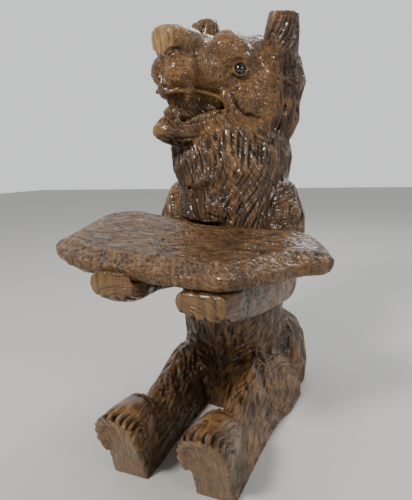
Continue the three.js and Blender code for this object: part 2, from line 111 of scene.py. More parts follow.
def bead(points, radii, steps, place=Matrix.Identity(4)):
    """A bead through points in millimetres, with the radii spread evenly along it."""
    path = [place @ (p * MM) for p in smooth_path(points, steps)]
    places = np.linspace(0, len(radii) - 1, len(path))
    sizes = np.interp(places, range(len(radii)), radii) * MM
    return roll(path, sizes)


def head_bead(points, radii, steps=4):
    """The same with its points on the head."""
    return bead(points, radii, steps, head)


def head_egg(centre, radii):
    """An egg on the head, with its radii along the head's own axes."""
    form = bmesh.new()
    bmesh.ops.create_icosphere(form, subdivisions=3, radius=1)
    place = (
        head @ Matrix.Translation(Vector(centre) * MM)
        @ Matrix.Diagonal((*[r * MM for r in radii], 1))
    )
    bmesh.ops.transform(form, matrix=place, verts=form.verts)
    return form


EYE_PLACE = (44, -7, 21)     # the left eye on the head
EYE_FACING = Vector((0.86, -0.47, 0.16)).normalized()
EYE_CLEAR = 15               # millimetres round an eye that the gouges keep off


def eyelids(side):
    """The rolled rim of the lids round the glass."""
    centre = Vector((side * EYE_PLACE[0], EYE_PLACE[1], EYE_PLACE[2]))
    out = Vector((side * EYE_FACING.x, EYE_FACING.y, EYE_FACING.z))
    turn = out.to_track_quat("Z", "Y")
    rim = []
    for angle in np.linspace(0, 2 * math.pi, 25):
        rim.append(centre + turn @ Vector((9.6 * math.cos(angle), 8.8 * math.sin(angle), 3.4)))
    return head_bead(rim, [2.3] * 25, steps=1)


def face_forms(side):
    """What the knife leaves standing on one half of the face."""
    s = side
    return [
        # rolled lower lip, from the corner of the mouth to the chin
        head_bead(
            [(s * 40, -20, -31), (s * 37, -28, -40), (s * 32, -45, -51), (s * 27, -65, -58),
             (s * 20, -86, -61), (s * 9, -99, -60), (-s * 2, -103, -59)],
            [3.0, 3.4, 3.8, 4.2, 4.4, 4.8, 4.8],
        ),
        # upper lip, from the muzzle pad back to the corner
        head_bead(
            [(s * 12, -98, -14), (s * 21, -88, -12), (s * 27, -66, -10), (s * 33, -44, -13),
             (s * 39, -27, -19), (s * 41, -20, -30)],
            [3.0, 3.6, 3.6, 3.6, 3.8, 3.4],
        ),
        # upper fang, and the root of the lower one
        head_bead([(s * 22, -75, -3), (s * 22, -74, -14), (s * 21.5, -73, -28)], [8.6, 6.4, 1.4]),
        head_egg((s * 16, -83, -50), (5.0, 4.6, 8.0)),
        # ridge of the brow over the eye
        head_bead(
            [(s * 30, -26, 42), (s * 42, -14, 38), (s * 50, 4, 34), (s * 54, 20, 24)],
            [4, 7, 6.5, 3],
        ),
        eyelids(side),
    ]


FOOT_MIDDLE = 51.5           # millimetres from the bear's middle line to the middle of a foot
SOLE_SLOPE = 0.3346          # how far the soles lean, for each millimetre up
CLAWS = 11
CLAW_STEP = 18.8             # degrees round the toe cap from claw to claw


def toe_arch(side, angle, depth):
    """A point over the arch of a toe cap, depth millimetres behind its rim.

    Angle 0 is outward to the left and 90 is the top."""
    turn = math.radians(angle)
    across = math.copysign(abs(math.cos(turn)) ** 0.8, math.cos(turn)) * (27.5 + 1.5 * side)
    height = 65 + 33 * math.copysign(abs(math.sin(turn)) ** 0.8, math.sin(turn))
    return side * FOOT_MIDDLE + across, -261 - SOLE_SLOPE * height + depth, height


def along_claw(side, angle, start, end, count):
    """Points along a claw that curls over the toe cap from depth start to depth end."""
    for t in np.linspace(0, 1, count):
        yield t, toe_arch(side, angle + 11 * math.sin(math.pi * t) - 6 * t, start + (end - start) * t)


def claw_forms(side):
    """Claws laid side by side over the arch of a foot, each curling in at its tip."""
    claws = []
    for i in range(CLAWS):
        line = []
        for t, (x, y, z) in along_claw(side, i * CLAW_STEP - 4, 26, 1.5, 5):
            sunk = 4.6 - 2.2 * t
            line.append((x + (side * FOOT_MIDDLE - x) * sunk / 30, y, z + (62 - z) * sunk / 34))
        claws.append(bead(line, [2.2, 4.4, 4.0], 3))
    return claws


def object_of(name, mesh):
    made = bpy.data.objects.new(name, mesh)
    scene.collection.objects.link(made)
    return made


def applied(obj, name):
    """The object's modifiers turned into a plain mesh of the given name."""
    done = bpy.data.meshes.new_from_object(obj.evaluated_get(bpy.context.evaluated_depsgraph_get()))
    done.name = name
    obj.modifiers.clear()
    obj.data = done
    return obj


def block_from(node, name, grid, extra_forms=()):
    """A copy of a CAD node with further forms on it, as one even closed skin."""
    form = bmesh.new()
    form.from_mesh(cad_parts[node].data)
    bmesh.ops.transform(form, matrix=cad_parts[node].matrix_world, verts=form.verts)
    bmesh.ops.remove_doubles(form, verts=form.verts, dist=0.01 * MM)
    for extra in extra_forms:
        bmesh.ops.recalc_face_normals(extra, faces=extra.faces)
        held = bpy.data.meshes.new("form")
        extra.to_mesh(held)
        form.from_mesh(held)
        bpy.data.meshes.remove(held)
    mesh = bpy.data.meshes.new(name)
    form.to_mesh(mesh)
    block = object_of(name, mesh)
    remesh = block.modifiers.new("even skin", "REMESH")
    remesh.mode = "VOXEL"
    remesh.voxel_size = grid
    return applied(block, name)


def points_of(mesh):
    points = np.empty(len(mesh.vertices) * 3)
    mesh.vertices.foreach_get("co", points)
    return points.reshape(-1, 3)


def normals_of(mesh):
    normals = np.empty(len(mesh.vertices) * 3)
    mesh.vertex_normals.foreach_get("vector", normals)
    return normals.reshape(-1, 3)


def edges_of(mesh):
    edges = np.empty(len(mesh.edges) * 2, dtype=np.int64)
    mesh.edges.foreach_get("vertices", edges)
    return edges.reshape(-1, 2).T


def neighbour_mean(a, b, value):
    """The mean of each point's neighbours, over the edges from a to b."""
    size = len(value)
    count = np.bincount(a, minlength=size) + np.bincount(b, minlength=size)
    return (np.bincount(a, value[b], size) + np.bincount(b, value[a], size)) / count


def soften(mesh, passes, share):
    """Relaxes the skin. share is how far each point may move to its neighbours' middle."""
    points = points_of(mesh)
    a, b = edges_of(mesh)
    for _ in range(passes):
        middle = np.stack([neighbour_mean(a, b, points[:, axis]) for axis in range(3)], 1)
        points += share[:, None] * (middle - points)
    mesh.vertices.foreach_set("co", points.ravel())
    mesh.update()


def head_coordinates(points):
    """Millimetres on the head, looking straight ahead, for an array of points."""
    back = np.array(head.inverted())
    return (points @ back[:3, :3].T + back[:3, 3]) / MM


def from_eye(places):
    """How far places on the head are from the eye of their own side, in millimetres."""
    return np.linalg.norm(np.abs(places * [1, 0, 0]) + places * [0, 1, 1] - EYE_PLACE, axis=1)


def store(mesh, name, values):
    """Keeps a number with each point of the mesh."""
    values = np.asarray(values, dtype=np.float32)
    mesh.attributes.new(name, "FLOAT", "POINT").data.foreach_set("value", values)


def blurred(mesh, mask, passes):
    """A mask with its edges blended over a few points."""
    value = mask.astype(float)
    a, b = edges_of(mesh)
    for _ in range(passes):
        value = 0.5 * value + 0.5 * neighbour_mean(a, b, value)
    return value


def count_across(mesh, lie, rounds):
    """Millimetres counted across the lie of the hair: a value to each point whose level lines
    follow the strokes. Found by conjugate gradients on the differences along the edges."""
    points, normals = points_of(mesh), normals_of(mesh)
    a, b = edges_of(mesh)
    sideways = np.cross(normals, lie)
    wanted = np.sum((sideways[a] + sideways[b]) * (points[b] - points[a]), axis=1) / (2 * MM)
    size = len(points)
    weight = np.bincount(a, minlength=size) + np.bincount(b, minlength=size)
    value = np.zeros(size)
    left = np.bincount(b, wanted, size) - np.bincount(a, wanted, size)
    eased = left / weight
    way = eased.copy()
    energy = left @ eased
    for _ in range(rounds):
        slope = way[b] - way[a]
        pull = np.bincount(b, slope, size) - np.bincount(a, slope, size)
        share = energy / (way @ pull)
        value += share * way
        left -= share * pull
        eased = left / weight
        energy, before = left @ eased, energy
        way = eased + way * (energy / before)
    return value


knife_work = face_forms(1) + face_forms(-1) + claw_forms(1) + claw_forms(-1)
bear_block = block_from("bear", "carved_bear", BLOCK_GRID, knife_work)
skin = points_of(bear_block.data)
on_face = head_coordinates(skin)
fine_work = (on_face[:, 1] < -8) & (np.abs(on_face[:, 0]) < 46) & (np.abs(on_face[:, 2] + 33) < 40)
near_eye = from_eye(on_face) < EYE_CLEAR
by_height = np.clip(skin[:, 2] / (4 * MM), 0, 1)
soften(bear_block.data, BLOCK_SOFTENING, 0.6 * by_height * np.where(fine_work | near_eye, 0.14, 1.0))


# The coat. The carver combs the hair into the wood with a U gouge, stroke beside stroke: long
# locks on the body, a herringbone on the legs, short nicks on the face. Each stroke follows
# the lie of the coat, and its ends run out to nothing.
STROKE_STEP = 2.2 * MM       # spacing of the points along a stroke
FRESH_GROUND = 0.86          # share of its width that a new stroke starts away from the others
CROWDING = 0.62              # share of its width that it keeps from them further on
MOST_STARTS = 42000
DEEP_CUT = 2.4 * MM          # depth at which a cut is darkest: stain and painted shade together

# Places on the bear's left side in millimetres, the lie of the hair there, and the length,
# width and depth of the gouge strokes. The right side is its mirror.
BODY_COAT = [
    ((8, -112, 330), (-0.10, 0.0, -1.0), 54, 5.0, 2.3),
    ((26, -108, 330), (-0.62, 0.0, -1.0), 56, 5.0, 2.4),
    ((55, -90, 330), (-0.95, -0.30, -1.0), 56, 5.2, 2.4),
    ((16, -117, 190), (-0.50, 0.0, -1.0), 48, 5.2, 2.4),
    ((16, -112, 110), (-0.20, 0.0, -1.0), 44, 5.2, 2.4),
    ((66, -70, 190), (-0.70, -0.55, -0.80), 52, 5.4, 2.4),
    ((72, -60, 110), (-0.75, -0.60, -0.70), 48, 5.4, 2.4),
    ((84, -5, 170), (-0.10, -0.50, -1.0), 52, 5.6, 2.3),
    ((10, -96, 395), (0.0, -0.15, -1.0), 56, 6.4, 3.6),
    ((26, -90, 385), (-0.10, -0.12, -1.0), 56, 6.4, 3.6),
    ((45, -75, 380), (-0.15, -0.10, -1.0), 54, 6.2, 3.2),
    ((92, -15, 315), (-0.10, -0.55, -1.0), 50, 5.8, 2.3),
    ((112, -25, 255), (0.0, -0.40, -1.0), 50, 5.8, 2.3),
    ((108, -35, 205), (0.0, -1.0, -0.45), 44, 5.6, 2.0),
    ((88, -115, 215), (-0.10, -1.0, 0.05), 58, 5.2, 1.1),
    ((55, -230, 225), (-0.10, -1.0, 0.10), 48, 5.2, 1.1),
    ((40, 70, 385), (0.05, 0.15, -1.0), 50, 6.0, 2.4),
    ((35, 105, 300), (0.05, 0.0, -1.0), 56, 6.2, 2.4),
    ((35, 112, 200), (0.12, 0.0, -1.0), 56, 6.2, 2.4),
    ((35, 108, 90), (0.20, 0.05, -1.0), 56, 6.2, 2.4),
    ((108, 45, 110), (0.06, 0.06, -1.0), 58, 5.6, 2.1),
    ((104, 60, 35), (0.04, 0.10, -1.0), 54, 5.6, 2.1),
    ((98, -15, 70), (0.10, -0.35, -0.90), 48, 5.8, 2.2),
    ((44, -70, 92), (-0.75, -0.75, -0.45), 32, 7.0, 2.9),
    ((72, -70, 92), (0.70, -0.80, -0.55), 34, 7.0, 2.9),
    ((44, -150, 78), (-0.70, -0.85, -0.30), 30, 7.0, 2.9),
    ((70, -150, 78), (0.60, -0.95, -0.40), 34, 7.0, 2.9),
    ((90, -95, 40), (0.05, -1.0, -0.35), 46, 5.8, 2.2),
    ((84, -170, 35), (0.0, -1.0, -0.25), 44, 5.6, 2.0),
    ((24, -150, 30), (0.0, -1.0, -0.25), 42, 5.8, 2.0),
    ((34, -215, 60), (0.0, -1.0, 0.0), 32, 5.4, 1.8),
    ((76, -215, 60), (0.0, -1.0, 0.0), 32, 5.4, 1.8),
]
HEAD_COAT = [
    ((20, -60, 52), (0.0, 1.0, 0.10), 9, 2.8, 0.9),
    ((32, -50, 22), (0.1, 1.0, 0.05), 9, 2.7, 0.9),
    ((30, -88, 12), (0.45, 0.8, -0.35), 12, 3.0, 1.0),
    ((14, -20, 66), (0.15, 0.9, 0.45), 11, 2.9, 0.9),
    ((30, 2, 66), (0.35, 0.9, 0.15), 12, 3.0, 1.0),
    ((12, 40, 88), (0.1, 1.0, 0.0), 20, 4.2, 1.3),
    ((48, 12, 40), (0.1, 1.0, -0.1), 10, 2.8, 0.9),
    ((42, -26, 12), (0.2, 1.0, -0.25), 8, 2.7, 0.9),
    ((60, 24, 0), (0.1, 0.75, -0.65), 11, 2.9, 1.0),
    ((56, 40, -30), (0.05, 0.7, -0.75), 12, 3.0, 1.0),
    ((50, 10, -42), (0.1, 0.8, -0.5), 10, 2.8, 0.9),
    ((30, -50, -80), (0.1, 0.95, -0.2), 10, 2.8, 0.9),
    ((30, 0, -90), (0.1, 0.8, -0.6), 15, 3.8, 1.2),
    ((84, 50, 30), (0.15, 0.25, -1.0), 38, 5.4, 2.5),
    ((82, 60, -20), (-0.05, 0.10, -1.0), 44, 5.8, 2.7),
    ((72, 45, -62), (-0.20, -0.10, -1.0), 46, 5.8, 2.9),
    ((30, 118, 30), (0.0, 0.10, -1.0), 46, 6.0, 2.4),
    ((30, 118, -40), (0.0, 0.05, -1.0), 48, 6.0, 2.4),
    ((30, 95, 72), (0.1, 0.8, -0.6), 36, 5.4, 2.0),
    ((66, 50, 84), (0.10, 0.05, 1.0), 30, 4.4, 1.8),
    ((74, 62, 60), (0.10, 0.05, 1.0), 30, 4.4, 1.8),
]


def lie_of_coat(points, normals):
    """The hair's direction and the stroke's length, width and depth at each point."""
    turn = np.array(head)[:3, :3]
    places, ways, sizes = [], [], []
    for side in (1, -1):
        flip = np.array([side, 1, 1])
        for place, way, *size in BODY_COAT:
            places.append(np.array(place) * flip * MM)
            ways.append(np.array(way) * flip)
            sizes.append(size)
        for place, way, *size in HEAD_COAT:
            places.append(np.array(on_head(*(np.array(place) * flip))))
            ways.append(turn @ (np.array(way) * flip))
            sizes.append(size)
    ways = np.array([way / np.linalg.norm(way) for way in ways])
    pull = np.empty((len(points), len(places)))
    for i, place in enumerate(places):
        pull[:, i] = 1 / (np.sum((points - place) ** 2, axis=1) + (6 * MM) ** 2) ** 2.5
    pull /= pull.sum(axis=1, keepdims=True)
    lie = pull @ ways
    lie -= normals * np.sum(lie * normals, axis=1, keepdims=True)
    lie /= np.maximum(np.linalg.norm(lie, axis=1, keepdims=True), 1e-6)
    return lie, (pull @ np.array(sizes)) * MM


class Taken:
    """The ground that earlier strokes have already taken, in small cells."""

    def __init__(self, cell):
        self.cell = cell
        self.cells = {}

    def key(self, point):
        return tuple(int(math.floor(c / self.cell)) for c in point)

    def near(self, point, reach):
        x, y, z = self.key(point)
        limit = reach * reach
        for i in (x - 1, x, x + 1):
            for j in (y - 1, y, y + 1):
                for k in (z - 1, z, z + 1):
                    for other in self.cells.get((i, j, k), ()):
                        if (other - point).length_squared < limit:
                            return True
        return False

    def add(self, points):
        for point in points:
            self.cells.setdefault(self.key(point), []).append(point)


def comb(obj, lie, sizes, bare, seed, lines=()):
    """Lines of gouge strokes side by side over an object's skin: (points, width, depth) each.

    A stroke starts anywhere that is still uncut and runs both ways along the lie of the coat,
    until it has its length or meets another stroke. The given lines come first."""
    tree = BVHTree.FromObject(obj, bpy.context.evaluated_depsgraph_get())
    mesh = obj.data
    starts = np.empty(len(mesh.polygons), dtype=np.int64)
    mesh.polygons.foreach_get("loop_start", starts)
    corners = np.empty(len(mesh.loops), dtype=np.int64)
    mesh.loops.foreach_get("vertex_index", corners)
    corner = corners[starts]
    rng = np.random.default_rng(seed)
    taken = Taken(float(sizes[:, 1].max()))
    strokes = []
    for points, width, depth in lines:
        laid = [tree.find_nearest(p)[0] for p in points]
        taken.add(laid)
        strokes.append((laid, width, depth))
    points = points_of(mesh)
    open_ground = np.flatnonzero(~bare)
    order = rng.choice(open_ground, min(len(open_ground), MOST_STARTS), replace=False)
    for start in order:
        length, width, depth = sizes[start]
        seed_point = Vector(points[start])
        if taken.near(seed_point, width * FRESH_GROUND):
            continue
        length *= rng.uniform(0.65, 1.25)
        halves = []
        for way in (1, -1):
            here = seed_point
            heading = Vector(lie[start]) * way
            half = []
            for _ in range(int(length / 2 / STROKE_STEP)):
                spot, _, face, _ = tree.find_nearest(here + heading * STROKE_STEP)
                at = corner[face]
                if bare[at] or taken.near(spot, width * CROWDING):
                    break
                onward = Vector(lie[at]) * way
                if onward.dot(heading) < 0.3:
                    break
                heading = (heading + onward).normalized()
                here = spot
                half.append(spot)
            halves.append(half)
        line = list(reversed(halves[1])) + [seed_point] + halves[0]
        if len(line) < 3:
            continue
        taken.add(line)
        strokes.append((line, width * rng.uniform(0.9, 1.15), depth * rng.uniform(0.75, 1.2)))
    return strokes


def cuts_object(name, strokes, seed):
    """The centre lines of the strokes as one wire mesh, with each point's width, depth and tone."""
    rng = np.random.default_rng(seed)
    points, edges, widths, depths, tones = [], [], [], [], []
    for line, width, depth in strokes:
        first = len(points)
        tone = rng.random()
        last = len(line) - 1
        for i, point in enumerate(line):
            fullness = math.sin(math.pi * (i + 0.35) / (last + 0.7)) ** 0.55
            points.append(point)
            widths.append(width * (0.45 + 0.55 * fullness))
            depths.append(depth * fullness)
            tones.append(tone)
            if i:
                edges.append((first + i - 1, first + i))
    mesh = bpy.data.meshes.new(name)
    mesh.from_pydata(points, edges, [])
    for key, values in (("cut_width", widths), ("cut_depth", depths), ("cut_tone", tones)):
        store(mesh, key, values)
    return object_of(name, mesh)


def math_node(tree, operation, a, b=0.0):
    """A math node on two numbers or sockets, and its result."""
    node = tree.nodes.new("ShaderNodeMath")
    node.operation = operation
    for socket, value in zip(node.inputs, (a, b)):
        if isinstance(value, (int, float)):
            socket.default_value = value
        else:
            tree.links.new(value, socket)
    return node.outputs[0]


def gouge_tree():
    """Geometry Nodes: cuts a rounded groove into a skin along the nearest centre line."""
    tree = bpy.data.node_groups.new("Gouge strokes", "GeometryNodeTree")
    ports = tree.interface
    ports.new_socket("Skin", in_out="INPUT", socket_type="NodeSocketGeometry")
    ports.new_socket("Centre lines", in_out="INPUT", socket_type="NodeSocketObject")
    strength = ports.new_socket("Depth", in_out="INPUT", socket_type="NodeSocketFloat")
    strength.default_value = 1.0
    ports.new_socket("Finish", in_out="INPUT", socket_type="NodeSocketMaterial")
    ports.new_socket("Skin", in_out="OUTPUT", socket_type="NodeSocketGeometry")
    nodes, link = tree.nodes, tree.links.new
    given = nodes.new("NodeGroupInput")
    result = nodes.new("NodeGroupOutput")
    lines = nodes.new("GeometryNodeObjectInfo")
    link(given.outputs["Centre lines"], lines.inputs["Object"])
    reach = nodes.new("GeometryNodeProximity")
    reach.target_element = "EDGES"
    link(lines.outputs["Geometry"], reach.inputs[0])
    nearest = nodes.new("GeometryNodeSampleNearest")
    nearest.domain = "POINT"
    link(lines.outputs["Geometry"], nearest.inputs["Geometry"])

    def sampled(name):
        read = nodes.new("GeometryNodeInputNamedAttribute")
        read.data_type = "FLOAT"
        read.inputs["Name"].default_value = name
        pick = nodes.new("GeometryNodeSampleIndex")
        pick.data_type = "FLOAT"
        pick.domain = "POINT"
        link(lines.outputs["Geometry"], pick.inputs["Geometry"])
        link(read.outputs["Attribute"], pick.inputs["Value"])
        link(nearest.outputs["Index"], pick.inputs["Index"])
        return pick.outputs["Value"]

    half_width = math_node(tree, "MULTIPLY", sampled("cut_width"), 0.62)
    share = math_node(tree, "DIVIDE", reach.outputs["Distance"], half_width)
    hollow = math_node(tree, "SUBTRACT", 1.0, math_node(tree, "MULTIPLY", share, share))
    open_share = math_node(tree, "MAXIMUM", hollow, 0.0)
    full_depth = math_node(tree, "MULTIPLY", sampled("cut_depth"), open_share)
    depth = math_node(tree, "MULTIPLY", full_depth, given.outputs["Depth"])
    inward = nodes.new("ShaderNodeVectorMath")
    inward.operation = "SCALE"
    normal = nodes.new("GeometryNodeInputNormal")
    link(normal.outputs[0], inward.inputs[0])
    link(math_node(tree, "MULTIPLY", depth, -1.0), inward.inputs["Scale"])
    groove = nodes.new("GeometryNodeStoreNamedAttribute")
    groove.inputs["Name"].default_value = "groove"
    link(given.outputs["Skin"], groove.inputs["Geometry"])
    link(math_node(tree, "DIVIDE", depth, DEEP_CUT), groove.inputs["Value"])
    tone = nodes.new("GeometryNodeStoreNamedAttribute")
    tone.inputs["Name"].default_value = "tone"
    link(groove.outputs["Geometry"], tone.inputs["Geometry"])
    link(sampled("cut_tone"), tone.inputs["Value"])
    cut = nodes.new("GeometryNodeSetPosition")
    link(tone.outputs["Geometry"], cut.inputs["Geometry"])
    link(inward.outputs[0], cut.inputs["Offset"])
    whole = nodes.new("GeometryNodeRealizeInstances")
    link(cut.outputs["Geometry"], whole.inputs["Geometry"])
    stain = nodes.new("GeometryNodeSetMaterial")
    link(whole.outputs["Geometry"], stain.inputs["Geometry"])
    link(given.outputs["Finish"], stain.inputs["Material"])
    link(stain.outputs["Geometry"], result.inputs["Skin"])
    return tree


gouges = gouge_tree()


def carve(obj, strokes, seed, finish):
    """Cuts the strokes into the object with the gouge tree and leaves a plain mesh."""
    lines = cuts_object(obj.name + "_strokes", strokes, seed)
    modifier = obj.modifiers.new("gouge", "NODES")
    modifier.node_group = gouges
    inputs = [item for item in gouges.interface.items_tree if item.in_out == "INPUT"]
    sockets = {item.name: item.identifier for item in inputs}
    modifier[sockets["Centre lines"]] = lines
    modifier[sockets["Depth"]] = 1.0
    modifier[sockets["Finish"]] = finish
    applied(obj, obj.name)
    wire = lines.data
    bpy.data.objects.remove(lines)
    bpy.data.meshes.remove(wire)
    return obj


def thinned(obj, triangles):
    """Fewer triangles where the skin is plain, down to the given number."""
    count = sum(len(p.vertices) - 2 for p in obj.data.polygons)
    if count > triangles:
        fewer = obj.modifiers.new("thin", "DECIMATE")
        fewer.ratio = triangles / count
        applied(obj, obj.name)
    obj.data.shade_smooth()


STAIN_AND_SHADE = (0.014, 0.006, 0.0025)       # walnut stain lying in a cut, also used as painted shade in the deep cuts
WOOD_DARK = (0.050, 0.024, 0.010)
WOOD_MIDDLE = (0.172, 0.088, 0.035)
WOOD_GOLD = (0.400, 0.200, 0.062)
RAW_DARK = (0.120, 0.058, 0.018)     # sawn faces left plain
RAW_LIGHT = (0.400, 0.235, 0.085)


def wood_finish(name, grain_turn, amber, sheen_rough, spacing, run, relief):
    """Walnut stain and painted shade in the gouge cuts, stain rubbed off the ridges, under gloss
    varnish.

    Fine streaks follow the lie of the cuts: spacing, length and depth in millimetres."""
    material = bpy.data.materials.new(name)
    material.use_nodes = True
    tree = material.node_tree
    nodes, link = tree.nodes, tree.links.new
    shader = nodes["Principled BSDF"]
    place = nodes.new("ShaderNodeTexCoord")

    def noise(scale, detail, stretch=(1, 1, 1), roughness=0.55):
        mapping = nodes.new("ShaderNodeMapping")
        mapping.inputs["Scale"].default_value = stretch
        mapping.inputs["Rotation"].default_value = grain_turn
        link(place.outputs["Object"], mapping.inputs["Vector"])
        made = nodes.new("ShaderNodeTexNoise")
        made.inputs["Scale"].default_value = scale
        made.inputs["Detail"].default_value = detail
        made.inputs["Roughness"].default_value = roughness
        link(mapping.outputs["Vector"], made.inputs["Vector"])
        return made.outputs["Fac"]

    def spread(value, low, high, to_low=0.0, to_high=1.0):
        made = nodes.new("ShaderNodeMapRange")
        made.inputs["From Min"].default_value = low
        made.inputs["From Max"].default_value = high
        made.inputs["To Min"].default_value = to_low
        made.inputs["To Max"].default_value = to_high
        link(value, made.inputs["Value"])
        return made.outputs["Result"]

    def mixed(fac, a, b):
        made = nodes.new("ShaderNodeMix")
        made.data_type = "RGBA"
        link(fac, made.inputs["Factor"])
        for socket, value in ((made.inputs["A"], a), (made.inputs["B"], b)):
            if isinstance(value, tuple):
                socket.default_value = (*value, 1)
            else:
                link(value, socket)
        return made.outputs["Result"]

    def attribute(key):
        made = nodes.new("ShaderNodeAttribute")
        made.attribute_name = key
        return made.outputs["Fac"]

    def hairs(apart, length):
        """Streaks along the lie of the coat: 0 in the line of each and 1 between them."""
        made = nodes.new("ShaderNodeTexNoise")
        made.noise_dimensions = "4D"
        made.inputs["Scale"].default_value = 1 / (length * MM)
        made.inputs["Detail"].default_value = 2
        link(place.outputs["Object"], made.inputs["Vector"])
        across = math_node(tree, "MULTIPLY", attribute("across"), length * MM / apart)
        link(across, made.inputs["W"])
        off = math_node(tree, "ABSOLUTE", math_node(tree, "SUBTRACT", made.outputs["Fac"], 0.5))
        return spread(off, 0.0, 0.055)

    groove, raw, face = attribute("groove"), attribute("raw"), attribute("face")
    grain = noise(90, 5, (1, 1, 0.07), 0.6)
    patches = noise(15, 3, (1, 1, 0.6))
    pores = noise(420, 3, (1, 1, 0.35))
    half_way = spread(hairs(spacing / 2, run), 0.0, 1.0, 0.55, 1.0)
    locks = math_node(tree, "MULTIPLY", hairs(spacing, run), half_way)
    nicks = hairs(2.3, 8)
    mottle = math_node(tree, "MULTIPLY", face, spread(noise(70, 4), 0.46, 0.70, 0.0, 0.45))
    hair = nodes.new("ShaderNodeMix")
    link(face, hair.inputs["Factor"])
    link(locks, hair.inputs["A"])
    link(spread(nicks, 0.0, 1.0, 0.35, 1.0), hair.inputs["B"])
    hair = hair.outputs["Result"]
    wood = mixed(spread(grain, 0.36, 0.66), WOOD_DARK, WOOD_MIDDLE)
    wood = mixed(spread(patches, 0.42, 0.72, 0.0, amber), wood, WOOD_GOLD)
    wood = mixed(mottle, wood, WOOD_GOLD)
    wood = mixed(spread(attribute("tone"), 0.0, 1.0, 0.0, 0.35), wood, WOOD_DARK)
    wood = mixed(spread(hair, 0.0, 0.9, 0.6, 0.0), wood, STAIN_AND_SHADE)
    # painted shade: the deeper a cut, the darker it is coloured, stain and shade together
    wood = mixed(spread(groove, 0.3, 1.0, 0.0, 0.85), wood, STAIN_AND_SHADE)
    wood = mixed(spread(pores, 0.56, 0.72, 0.0, 0.45), wood, STAIN_AND_SHADE)
    bare_wood = mixed(spread(noise(230, 4, (1, 1, 0.05), 0.6), 0.36, 0.62), RAW_DARK, RAW_LIGHT)
    bare_wood = mixed(spread(patches, 0.42, 0.66, 0.0, 0.5), bare_wood, RAW_DARK)
    wood = mixed(raw, wood, bare_wood)
    link(wood, shader.inputs["Base Color"])
    sheen = spread(noise(60, 3), 0.3, 0.7, sheen_rough, sheen_rough + 0.18)
    link(sheen, shader.inputs["Roughness"])
    shader.inputs["Specular IOR Level"].default_value = 0.3
    shader.inputs["Coat Weight"].default_value = 0.5
    shader.inputs["Coat Roughness"].default_value = 0.16
    streaks = nodes.new("ShaderNodeBump")
    streaks.inputs["Strength"].default_value = 1.0
    streaks.inputs["Distance"].default_value = relief * MM
    covered = math_node(tree, "SUBTRACT", 1.0, raw)
    link(math_node(tree, "MULTIPLY", hair, covered), streaks.inputs["Height"])
    fine = nodes.new("ShaderNodeBump")
    fine.inputs["Strength"].default_value = 0.35
    fine.inputs["Distance"].default_value = 0.5 * MM
    link(noise(340, 4, (1, 1, 0.12), 0.6), fine.inputs["Height"])
    link(streaks.outputs["Normal"], fine.inputs["Normal"])
    link(fine.outputs["Normal"], shader.inputs["Normal"])
    link(streaks.outputs["Normal"], shader.inputs["Coat Normal"])
    return material


def cut_line(points, width, depth, steps, place=Matrix.Identity(4)):
    """A single cut through points in millimetres, with its width and depth."""
    return [place @ (p * MM) for p in smooth_path(points, steps)], width * MM, depth * MM


def head_line(points, width, depth, steps=6):
    """The same with its points on the head."""
    return cut_line(points, width, depth, steps, head)


def ear_skin(side, angle, height):
    """A point on the skin of an ear. Angle 0 faces forward and 90 outward."""
    up = (height - 44) / 50
    turn = math.radians(angle)
    out, back = 64 + 7 * up, 45 - 8 * up
    if side < 0:
        out, back = out + 4, back - 14
    x = out + (24 - 4 * up) * math.sin(turn)
    return side * x, back - (27 - 9 * up) * math.cos(turn), height


def ear_lines(side):
    """Flutes that fan from the foot of the ear's front edge, up and round to its outer side."""
    lines = []
    for i in range(9):
        start, sweep = i * 15 - 14, 36 + i * 2
        foot, rise = 50 - i * 0.8, 44 - i * 1.2
        flute = []
        for t in np.linspace(0, 1, 6):
            flute.append(ear_skin(side, start + sweep * (1 - (1 - t) ** 2), foot + rise * t))
        lines.append(head_line(flute, 4.4, 2.8, steps=4))
    # start angle, sweep, foot and rise of the cuts in the hollow and round the back
    hollow = [(-8 - i * 8, -24, 56 + i * 6, 26, 4.4, 2.6) for i in range(4)]
    round_back = [(-60 - i * 20, -12, 50, 42, 4.6, 2.0) for i in range(5)]
    for start, sweep, foot, rise, width, depth in hollow + round_back:
        flute = [ear_skin(side, start + sweep * t, foot + rise * t) for t in np.linspace(0, 1, 4)]
        lines.append(head_line(flute, width, depth, steps=4))
    return lines


